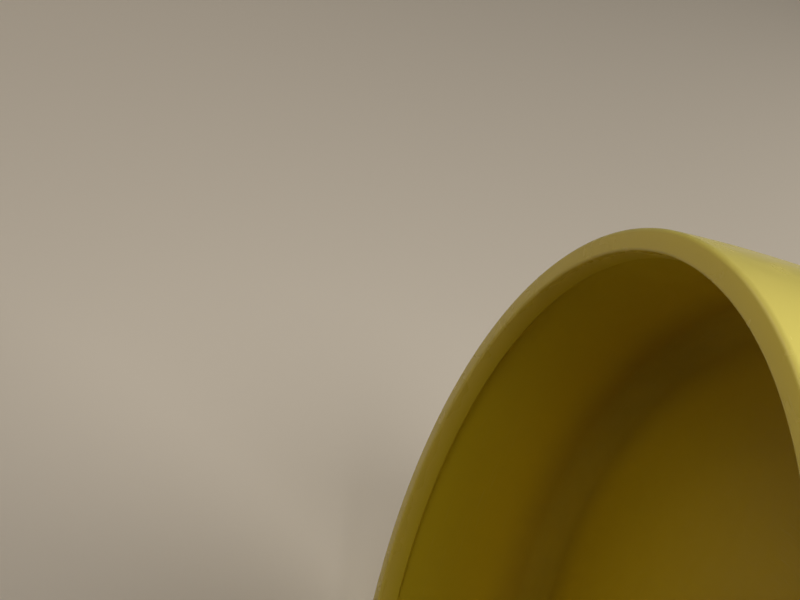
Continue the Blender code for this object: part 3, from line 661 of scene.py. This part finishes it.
def capSection(c):
    rise = c["sideStart"] - c["top"]
    dome = []
    for turn in quarterTurn(c["domeSteps"]):
        radius = c["radius"] * math.sin(turn)
        offset = min(1.0, abs(radius - c["grooveRadius"]) / c["grooveWidth"])
        sink = c["grooveDepth"] * (0.5 + 0.5 * math.cos(math.pi * offset))
        dome.append((radius, c["sideStart"] - rise * math.cos(turn) + sink, 0))
    return roundCorners(dome + [
        (c["radius"], c["foot"], c["footEdge"]), (c["grip"], c["foot"], c["gripEdge"]),
        (c["grip"], c["gripDepth"], 0), (c["pocket"], c["gripDepth"], 0),
        (c["pocket"], c["pocketDepth"], 0), (0, c["pocketDepth"], 0)], closed=False)


capShell = turnPiece("hub_cap_dome", [capSection(hubCap)], hubCap["steps"], drumPlastic)
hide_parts("hub_cap")
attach(capShell, "wheel")


# Bearings: the CAD rings stay, and get their balls and seals here

bearing = {                     # mm
    "starts": (68, 86), "width": 7, "ballRing": 7.7, "ballRadius": 1.35, "balls": 7,
    "ballSegments": 20, "ballRings": 12,
    "sealInner": 6.4, "sealOuter": 9.05, "sealInset": 0.3, "sealThickness": 0.6,
    "sealEdges": (0.12,) * 4, "sealSteps": 64,
}


def makeBalls(b):
    shape = bmesh.new()
    bmesh.ops.create_uvsphere(
        shape, u_segments=b["ballSegments"], v_segments=b["ballRings"], radius=b["ballRadius"] * mm)
    ring = circlePoints(0, 0, b["ballRing"], b["balls"])
    spots = []
    for start in b["starts"]:
        depth = mouthY + (start + b["width"] / 2) * mm
        spots += [Vector((x * mm, depth, axleHeight + y * mm)) for x, y in ring]
    return scatterPiece("bearing_balls", keepShape("ballTool", shape), spots, groundSteel)


def sealSections(b):
    lows = []
    for start in b["starts"]:
        lows += [start + b["sealInset"], start + b["width"] - b["sealInset"] - b["sealThickness"]]
    return [boxLine(b["sealInner"], b["sealOuter"], low, low + b["sealThickness"], b["sealEdges"], 0.1)
            for low in lows]


bearingBalls = makeBalls(bearing)
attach(bearingBalls, "wheel")
bearingSeals = turnPiece(
    "bearing_seals", sealSections(bearing), bearing["sealSteps"], sealRubber, closed=True)
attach(bearingSeals, "wheel")
print("hub and bearings made")


# Axle bolt, washer and lock nut

axle = {                        # mm
    "steps": 96, "radius": 4, "root": 3.45, "headRadius": 6.5, "headStart": 62.3, "headEnd": 67.7,
    "headEdge": 0.6, "headFoot": 0.2, "socketAcross": 5.9, "socketDepth": 3,
    "threadStart": 106, "neck": 1, "neckEdge": 0.3, "neckFoot": 0.2, "end": 123.5, "tip": 0.7,
    "tipEdge": 0.2, "pitch": 1.25, "crest": 0.5, "threadInset": 0.2, "threadShort": 1.2, "threadSteps": 72,
}


def makeBolt(a):
    outline = roundCorners([
        (0, a["headStart"], 0), (a["headRadius"], a["headStart"], a["headEdge"]),
        (a["headRadius"], a["headEnd"], a["headFoot"]), (a["radius"], a["headEnd"], 0),
        (a["radius"], a["threadStart"] - a["neck"], a["neckEdge"]),
        (a["root"], a["threadStart"] - a["neck"] / 2, a["neckFoot"]),
        (a["root"], a["end"] - a["tip"], 0), (a["root"] - a["tip"], a["end"], a["tipEdge"]),
        (0, a["end"], 0)], closed=False)
    body = turnPiece("boltBody", [outline], a["steps"], zincSteel, place=origin)
    socketLine = circlePoints(0, 0, a["socketAcross"] / 2 / math.cos(math.pi / 6), 6)
    socket = extrudeOutline(
        "socketTool", socketLine, "y", a["headStart"] - over, a["headStart"] + a["socketDepth"])
    carvePiece(body, socket)
    body.data.transform(Matrix.Rotation(math.pi / 2, 4, "X"))
    made = threadPiece("axle_bolt_threaded", body, a, a["threadStart"], a["end"])
    made.data.transform(Matrix.Translation(axleFoot) @ Matrix.Rotation(-math.pi / 2, 4, "X"))
    return made


boltPiece = makeBolt(axle)
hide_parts("axle_bolt")
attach(boltPiece, "support")

washer = {                      # mm, punched, so the edges on one side are rounder
    "bore": 4.3, "radius": 8.5, "start": 112.3, "end": 113.9, "edges": (0.25, 0.15, 0.45, 0.3), "steps": 96,
}
washerLine = boxLine(
    washer["bore"], washer["radius"], washer["start"], washer["end"], washer["edges"], 0.12)
washerPiece = turnPiece("axle_washer_plate", [washerLine], washer["steps"], zincSteel, closed=True)
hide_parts("axle_washer")
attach(washerPiece, "support")

nut = {                         # mm
    "across": 13, "start": 114.2, "hexEnd": 119.2, "faceInset": 0.15, "coneAngle": 30, "coneOut": 0.2,
    "skim": 0.01, "collar": 5.75, "collarEnd": 121, "collarEdge": 0.8, "collarTuck": 0.5, "steps": 96,
    "mouth": 5.0, "mouthEdge": 0.2, "mouthDepth": 0.5,
    "bore": 4.3, "boreFlare": 4.8, "boreChamfer": 0.5, "boreStart": 113, "boreEnd": 123, "boreSteps": 64,
    "ring": 4.9, "ringStart": 118.6, "ringEnd": 120.7, "ringEdges": (0, 0, 0.2, 0.25),
}


def makeNut(n):
    corner = n["across"] / 2 / math.cos(math.pi / 6)
    face, wide = n["across"] / 2 - n["faceInset"], corner + n["coneOut"]
    drop = (corner - face) * math.tan(math.radians(n["coneAngle"]))
    start, end = n["start"] - n["skim"], n["hexEnd"] + n["skim"]
    hexBody = extrudeOutline("nutBody", circlePoints(0, 0, corner, 6), "y", n["start"], n["hexEnd"])
    # A turned blank with a cone at each end takes the corners off the hexagon.
    cone = roundCorners([
        (0, start, 0), (face, start, 0), (wide, n["start"] + drop, 0),
        (wide, n["hexEnd"] - drop, 0), (face, end, 0), (0, end, 0)], closed=False)
    tuck, mouth = n["hexEnd"] - n["collarTuck"], n["collarEnd"] - n["mouthDepth"]
    collarLine = roundCorners([
        (0, tuck, 0), (n["collar"], tuck, 0), (n["collar"], n["collarEnd"], n["collarEdge"]),
        (n["mouth"], n["collarEnd"], n["mouthEdge"]), (n["mouth"], mouth, 0), (0, mouth, 0)],
        closed=False, finest=0.15)
    boreLine = [Vector(p) for p in (
        (0, n["boreStart"]), (n["boreFlare"], n["boreStart"]), (n["boreFlare"], n["start"]),
        (n["bore"], n["start"] + n["boreChamfer"]), (n["bore"], n["boreEnd"]), (0, n["boreEnd"]))]
    blank = turnPiece("nutBlank", [cone], n["steps"], zincSteel, place=origin)
    collar = turnPiece("nutCollar", [collarLine], n["steps"], zincSteel, place=origin)
    bore = turnPiece("nutBore", [boreLine], n["boreSteps"], zincSteel, place=origin)
    cutOrJoin(hexBody, blank, "INTERSECT")
    cutOrJoin(hexBody, collar, "UNION")
    cutOrJoin(hexBody, bore, "DIFFERENCE")
    hexBody.name = "axle_lock_nut"
    made = bakeModifiers(hexBody)
    dropObjects(blank, collar, bore)
    made.data.transform(Matrix.Translation(axleFoot))
    paintPiece(made, zincSteel)
    return made


nutPiece = makeNut(nut)
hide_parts("axle_nut")
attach(nutPiece, "support")

insertLine = boxLine(nut["bore"], nut["ring"], nut["ringStart"], nut["ringEnd"], nut["ringEdges"], 0.1)
nutInsert = turnPiece("nut_nylon_ring", [insertLine], nut["boreSteps"], nylon, closed=True)
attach(nutInsert, "support")
print("axle made")


# Upright, with the places of the screws that hold it

screw = {                       # mm, heights above the floor
    "x": 50, "depths": (94, 120), "hole": 2.1, "holeTop": 16.3, "holeSteps": 24,
    "head": 3.8, "headStart": 3.6, "headEnd": 5.8, "headEdge": 0.7, "headFoot": 0.15,
    "root": 1.45, "top": 16, "point": 2, "pointEdge": 0.3, "steps": 40,
    "pitch": 1.4, "crest": 0.4, "threadInset": 0.5, "threadShort": 2.5, "threadSteps": 48,
    "slotLength": 2.3, "slotWidth": 0.8, "slotDepth": 1.3,
}
screwPlaces = [(side * screw["x"], depth + mouthAt) for side in (-1, 1) for depth in screw["depths"]]

upright = {                     # mm, depth behind the mouth and height above the floor
    "front": 98, "back": 110, "bottom": 10.3, "sideTuck": 2, "footHalf": 54, "topRadius": 25, "topSteps": 48,
    "border": 8, "panelDepth": 3, "boss": 17, "bossOut": 2, "bossSteps": 72, "bore": 4.3, "boreSteps": 48,
    "flangeHalf": 64, "flangeFront": 88, "flangeBack": 127, "flangeHeight": 8, "flangeCorner": 9,
    "gussetX": 36, "gussetThick": 4, "gussetHeight": 52, "gussetLength": 14, "gussetToe": 4, "gussetTip": 1,
    "ribHalf": 2.6, "ribTuck": 2, "ribInset": 0.5,
    "bevel": 0.7, "bevelSteps": 3, "bevelAngle": 35, "sharpAngle": 40,
}


def uprightOutline(half, bottom, radius, steps):
    # Two straight sides run from the foot onto a round top about the axle.
    reach = Vector((half, bottom - axleUp))
    lean = math.atan2(reach.y, reach.x) + math.acos(radius / reach.length)
    turns = [lean + (math.pi - 2 * lean) * i / steps for i in range(steps + 1)]
    top = [Vector((radius * math.cos(t), axleUp + radius * math.sin(t))) for t in turns]
    return [Vector((-half, bottom)), Vector((half, bottom))] + top


def makeFlange(u):
    line = boxLine(-u["flangeHalf"], u["flangeHalf"], u["flangeFront"] + mouthAt, u["flangeBack"] + mouthAt,
                   (u["flangeCorner"],) * 4, 1.0)
    return extrudeOutline("flangeTool", line, "z", u["bottom"], u["bottom"] + u["flangeHeight"])


def makeStays(u, back):
    # Two gussets behind the legs and a rib up the middle, all standing on the flange.
    low, inside = u["bottom"] + u["flangeHeight"] - over, back - u["panelDepth"] - over
    toe, top = back + u["gussetLength"], low + u["gussetHeight"]
    profile = [(inside, low), (toe, low), (toe, low + u["gussetToe"]), (back + u["gussetTip"], top),
               (inside, top)]
    stays = []
    for side in (-1, 1):
        middle, half = side * u["gussetX"], u["gussetThick"] / 2
        stays.append(extrudeOutline("gussetTool", profile, "x", middle - half, middle + half))
    half, ribTop = u["ribHalf"], axleUp - u["boss"] + u["ribTuck"]
    ribLine = [(-half, low), (half, low), (half, ribTop), (-half, ribTop)]
    stays.append(extrudeOutline("ribTool", ribLine, "y", inside, back - u["ribInset"]))
    return stays


def makeUpright(u):
    front, back, low = u["front"] + mouthAt, u["back"] + mouthAt, u["bottom"]
    sideLine = uprightOutline(u["footHalf"], low + u["sideTuck"], u["topRadius"], u["topSteps"])
    body = extrudeOutline("upright_moulding", sideLine, "y", front, back)
    panelLine = uprightOutline(u["footHalf"] - u["border"], low + u["flangeHeight"] + u["border"],
                               u["topRadius"] - u["border"] / 2, u["topSteps"])
    panel = extrudeOutline("panelTool", panelLine, "y", back - u["panelDepth"], back + over)
    bossLine = circlePoints(0, axleUp, u["boss"], u["bossSteps"])
    bossFront, bossBack = front - u["bossOut"], back + u["bossOut"]
    boss = extrudeOutline("bossTool", bossLine, "y", bossFront, bossBack)
    boreLine = circlePoints(0, axleUp, u["bore"], u["boreSteps"])
    bore = extrudeOutline("boreTool", boreLine, "y", bossFront - over, bossBack + over)
    holeLines = [circlePoints(x, y, screw["hole"], screw["holeSteps"]) for x, y in screwPlaces]
    holes = extrudeOutline("holeTool", holeLines, "z", low - over, screw["holeTop"])
    joined = [makeFlange(u), boss, *makeStays(u, back)]
    cutOrJoin(body, panel, "DIFFERENCE")
    for tool in joined:
        cutOrJoin(body, tool, "UNION")
    for tool in (bore, holes):
        cutOrJoin(body, tool, "DIFFERENCE")
    bakeModifiers(body)
    dropObjects(panel, bore, holes, *joined)
    soften = body.modifiers.new("edges", "BEVEL")
    soften.limit_method = "ANGLE"
    soften.angle_limit = math.radians(u["bevelAngle"])
    soften.width = u["bevel"] * mm
    soften.segments = u["bevelSteps"]
    bakeModifiers(body, u["sharpAngle"])
    paintPiece(body, standPlastic)
    return body


uprightPiece = makeUpright(upright)
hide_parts("upright")
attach(uprightPiece, "support")
print("upright", len(uprightPiece.data.polygons), "faces")


# Base plate, feet and screws

foot = {                        # mm, radii and heights. The underside has a pit and a groove.
    "x": 72, "depths": (22, 114), "radius": 9, "height": 5, "steps": 72, "grooveDepth": 0.5,
    "pit": 2.2, "padStart": 2.6, "padEnd": 4.4, "grooveStart": 4.7, "grooveEnd": 5.5, "rimStart": 5.8,
    "rimEnd": 8.4, "rimRise": 1.2, "seat": 9.3, "seatTop": 5.3, "seatSteps": 48,
    "padEdge": 0.2, "grooveEdge": 0.15, "rimEdges": (0.5, 0.6), "topEdge": 0.3,
}
footPlaces = [(side * foot["x"], depth + mouthAt) for side in (-1, 1) for depth in foot["depths"]]

base = {                        # mm
    "half": 90, "front": 4, "back": 132, "bottom": 3, "top": 10, "corner": 26,
    "topRound": 3, "topSteps": 8, "bottomRound": 1, "bottomSteps": 4,
    "headHole": 4.1, "headHoleTop": 6.1, "headSteps": 32,
}


def makeBase(b):
    outline = boxLine(
        -b["half"], b["half"], b["front"] + mouthAt, b["back"] + mouthAt, (b["corner"],) * 4, 1.2)
    body = extrudeOutline("base_moulding", outline, "z", b["bottom"], b["top"])
    shape = bmesh.new()
    shape.from_mesh(body.data)
    for height, width, steps in (
            (b["top"], b["topRound"], b["topSteps"]), (b["bottom"], b["bottomRound"], b["bottomSteps"])):
        rim = [e for e in shape.edges if all(abs(v.co.z - height * mm) < mm / 100 for v in e.verts)]
        bmesh.ops.bevel(shape, geom=rim, offset=width * mm, segments=steps, profile=0.5, affect="EDGES")
    shape.to_mesh(body.data)
    shape.free()
    tools = []
    for places, radius, steps, top in (
            (footPlaces, foot["seat"], foot["seatSteps"], foot["seatTop"]),
            (screwPlaces, b["headHole"], b["headSteps"], b["headHoleTop"]),
            (screwPlaces, screw["hole"], screw["holeSteps"], b["top"] + over)):
        circles = [circlePoints(x, y, radius, steps) for x, y in places]
        tools.append(extrudeOutline("holeTool", circles, "z", b["bottom"] - over, top))
        cutOrJoin(body, tools[-1], "DIFFERENCE")
    bakeModifiers(body)
    dropObjects(*tools)
    paintPiece(body, standPlastic)
    return body


basePiece = makeBase(base)
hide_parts("base_plate")
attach(basePiece, "support")


def floorSpots(places):
    return [Vector((x, y, 0)) * mm for x, y in places]


def makeFoot(f):
    low, pad, groove = f["grooveDepth"], f["padEdge"], f["grooveEdge"]
    line = roundCorners([
        (0, low, 0), (f["pit"], low, pad), (f["padStart"], 0, pad), (f["padEnd"], 0, pad),
        (f["grooveStart"], low, groove), (f["grooveEnd"], low, groove), (f["rimStart"], 0, pad),
        (f["rimEnd"], 0, f["rimEdges"][0]), (f["radius"], f["rimRise"], f["rimEdges"][1]),
        (f["radius"], f["height"], f["topEdge"]), (0, f["height"], 0)], closed=False, finest=0.15)
    return turnPiece("footTool", [line], f["steps"], footRubber, place=origin)


feetPiece = scatterPiece(
    "rubber_feet", makeFoot(foot), floorSpots(footPlaces), footRubber, turn=(math.pi / 2, 0, 0))
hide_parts("foot_front_left", "foot_front_right", "foot_back_left", "foot_back_right")
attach(feetPiece, "support")


def makeScrew(w):
    line = roundCorners([
        (0, w["headStart"], 0), (w["head"], w["headStart"], w["headEdge"]),
        (w["head"], w["headEnd"], w["headFoot"]), (w["root"], w["headEnd"], 0),
        (w["root"], w["top"] - w["point"], w["pointEdge"]), (0, w["top"], 0)], closed=False, finest=0.2)
    body = turnPiece("screwBody", [line], w["steps"], zincSteel, place=origin)
    body.data.transform(Matrix.Rotation(math.pi / 2, 4, "X"))
    long, thin = w["slotLength"], w["slotWidth"] / 2
    cross = [(-long, -thin), (-thin, -thin), (-thin, -long), (thin, -long), (thin, -thin), (long, -thin),
             (long, thin), (thin, thin), (thin, long), (-thin, long), (-thin, thin), (-long, thin)]
    recess = extrudeOutline("recessTool", cross, "z", w["headStart"] - over, w["headStart"] + w["slotDepth"])
    carvePiece(body, recess)
    return threadPiece("screwTool", body, w, w["headEnd"], w["top"])


screwsPiece = scatterPiece("upright_screws", makeScrew(screw), floorSpots(screwPlaces), zincSteel)
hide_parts("upright_screw_1", "upright_screw_2", "upright_screw_3", "upright_screw_4")
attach(screwsPiece, "support")

# These nodes keep their CAD shape and only get a finish.
for nodeName, finish in (
        ("bearing_outer_front", groundSteel), ("bearing_outer_back", groundSteel),
        ("bearing_inner_front", groundSteel), ("bearing_inner_back", groundSteel),
        ("bearing_spacer", groundSteel), ("rear_spacer", zincSteel)):
    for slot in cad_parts[nodeName].material_slots:
        slot.material = finish
print("stand made")


# Camera, light and floor

view = {                        # metres, with the camera's own right and up directions
    "place": (0.16818, -0.21697, 0.40947),
    "right": (0.00382, 0.91228, 0.40955),
    "up": (-0.66435, -0.30379, 0.6829),
    "lens": 47.25, "sensor": 36, "near": 0.01,
}
camera = linkObject("camera", bpy.data.cameras.new("camera"))
camera.data.lens = view["lens"]
camera.data.sensor_width = view["sensor"]
camera.data.clip_start = view["near"]
right, up = Vector(view["right"]), Vector(view["up"])
turned = Matrix((right, up, right.cross(up))).transposed().to_4x4()
camera.matrix_world = Matrix.Translation(view["place"]) @ turned
bpy.context.scene.camera = camera

studio = {                      # metres and watts. The air is brighter overhead than at the horizon.
    "floor": "#d2cbbf", "floorHalf": 6, "floorRough": 0.8,
    "low": "#fff1e0", "lowStrength": 0.03, "high": "#fff6ea", "highStrength": 0.1,
    "airFrom": 0.2, "airTo": 0.9,
    "aim": (0, 0, 0.15),
    "key": {"place": (0.12, 0.015, 0.7), "size": 0.3, "watts": 1.5, "tint": "#fffaf2"},
    "fill": {"place": (0.05, -0.28, 0.62), "size": 0.3, "watts": 0.62, "tint": "#fff7ee"},
    "side": {"place": (-0.8, -0.8, 0.55), "size": 0.7, "watts": 1.1, "tint": "#fff0e0"},
    "back": {"place": (-0.1, 1.75, 1), "aim": (-0.1, 0.45, 0), "size": 1.3, "watts": 29, "tint": "#fff8ee"},
}
reach = studio["floorHalf"]
floorCorners = [(-reach, -reach, 0), (reach, -reach, 0), (reach, reach, 0), (-reach, reach, 0)]
floor = linkMesh("floor", floorCorners, faces=[(0, 1, 2, 3)])
paintPiece(floor, endMaterial(startMaterial("studio floor")[0], {
    "Base Color": studio["floor"], "Roughness": studio["floorRough"]}))

world = bpy.data.worlds.new("studio air")
bpy.context.scene.world = world
world.use_nodes = True
airTree = world.node_tree
airTree.nodes.clear()
direction = addNode(airTree, "ShaderNodeTexCoord").outputs["Generated"]
height = addNode(airTree, "ShaderNodeSeparateXYZ", {0: direction}).outputs["Z"]
overhead = addNode(airTree, "ShaderNodeMapRange", {
    "Value": height, "From Min": studio["airFrom"], "From Max": studio["airTo"]},
    interpolation_type="SMOOTHSTEP")
airTint = addNode(airTree, "ShaderNodeMix", {
    "Factor": overhead, 6: studio["low"], 7: studio["high"]}, data_type="RGBA").outputs[2]
airPower = addNode(airTree, "ShaderNodeMapRange", {
    "Value": overhead, "To Min": studio["lowStrength"], "To Max": studio["highStrength"]})
air = addNode(airTree, "ShaderNodeBackground", {"Color": airTint, "Strength": airPower})
addNode(airTree, "ShaderNodeOutputWorld", {"Surface": air})


def addSoftbox(name, plan):
    lamp = bpy.data.lights.new(name, "AREA")
    lamp.shape = "DISK"
    lamp.size = plan["size"]
    lamp.energy = plan["watts"]
    lamp.color = toLinear(plan["tint"])[:3]
    stand = linkObject(name, lamp)
    stand.location = plan["place"]
    aim = Vector(plan.get("aim", studio["aim"])) - Vector(plan["place"])
    stand.rotation_euler = aim.to_track_quat("-Z", "Y").to_euler()


for lampName in ("key", "fill", "side", "back"):
    addSoftbox(lampName + "Light", studio[lampName])
bpy.context.scene.view_settings.view_transform = "Standard"
print("studio ready")
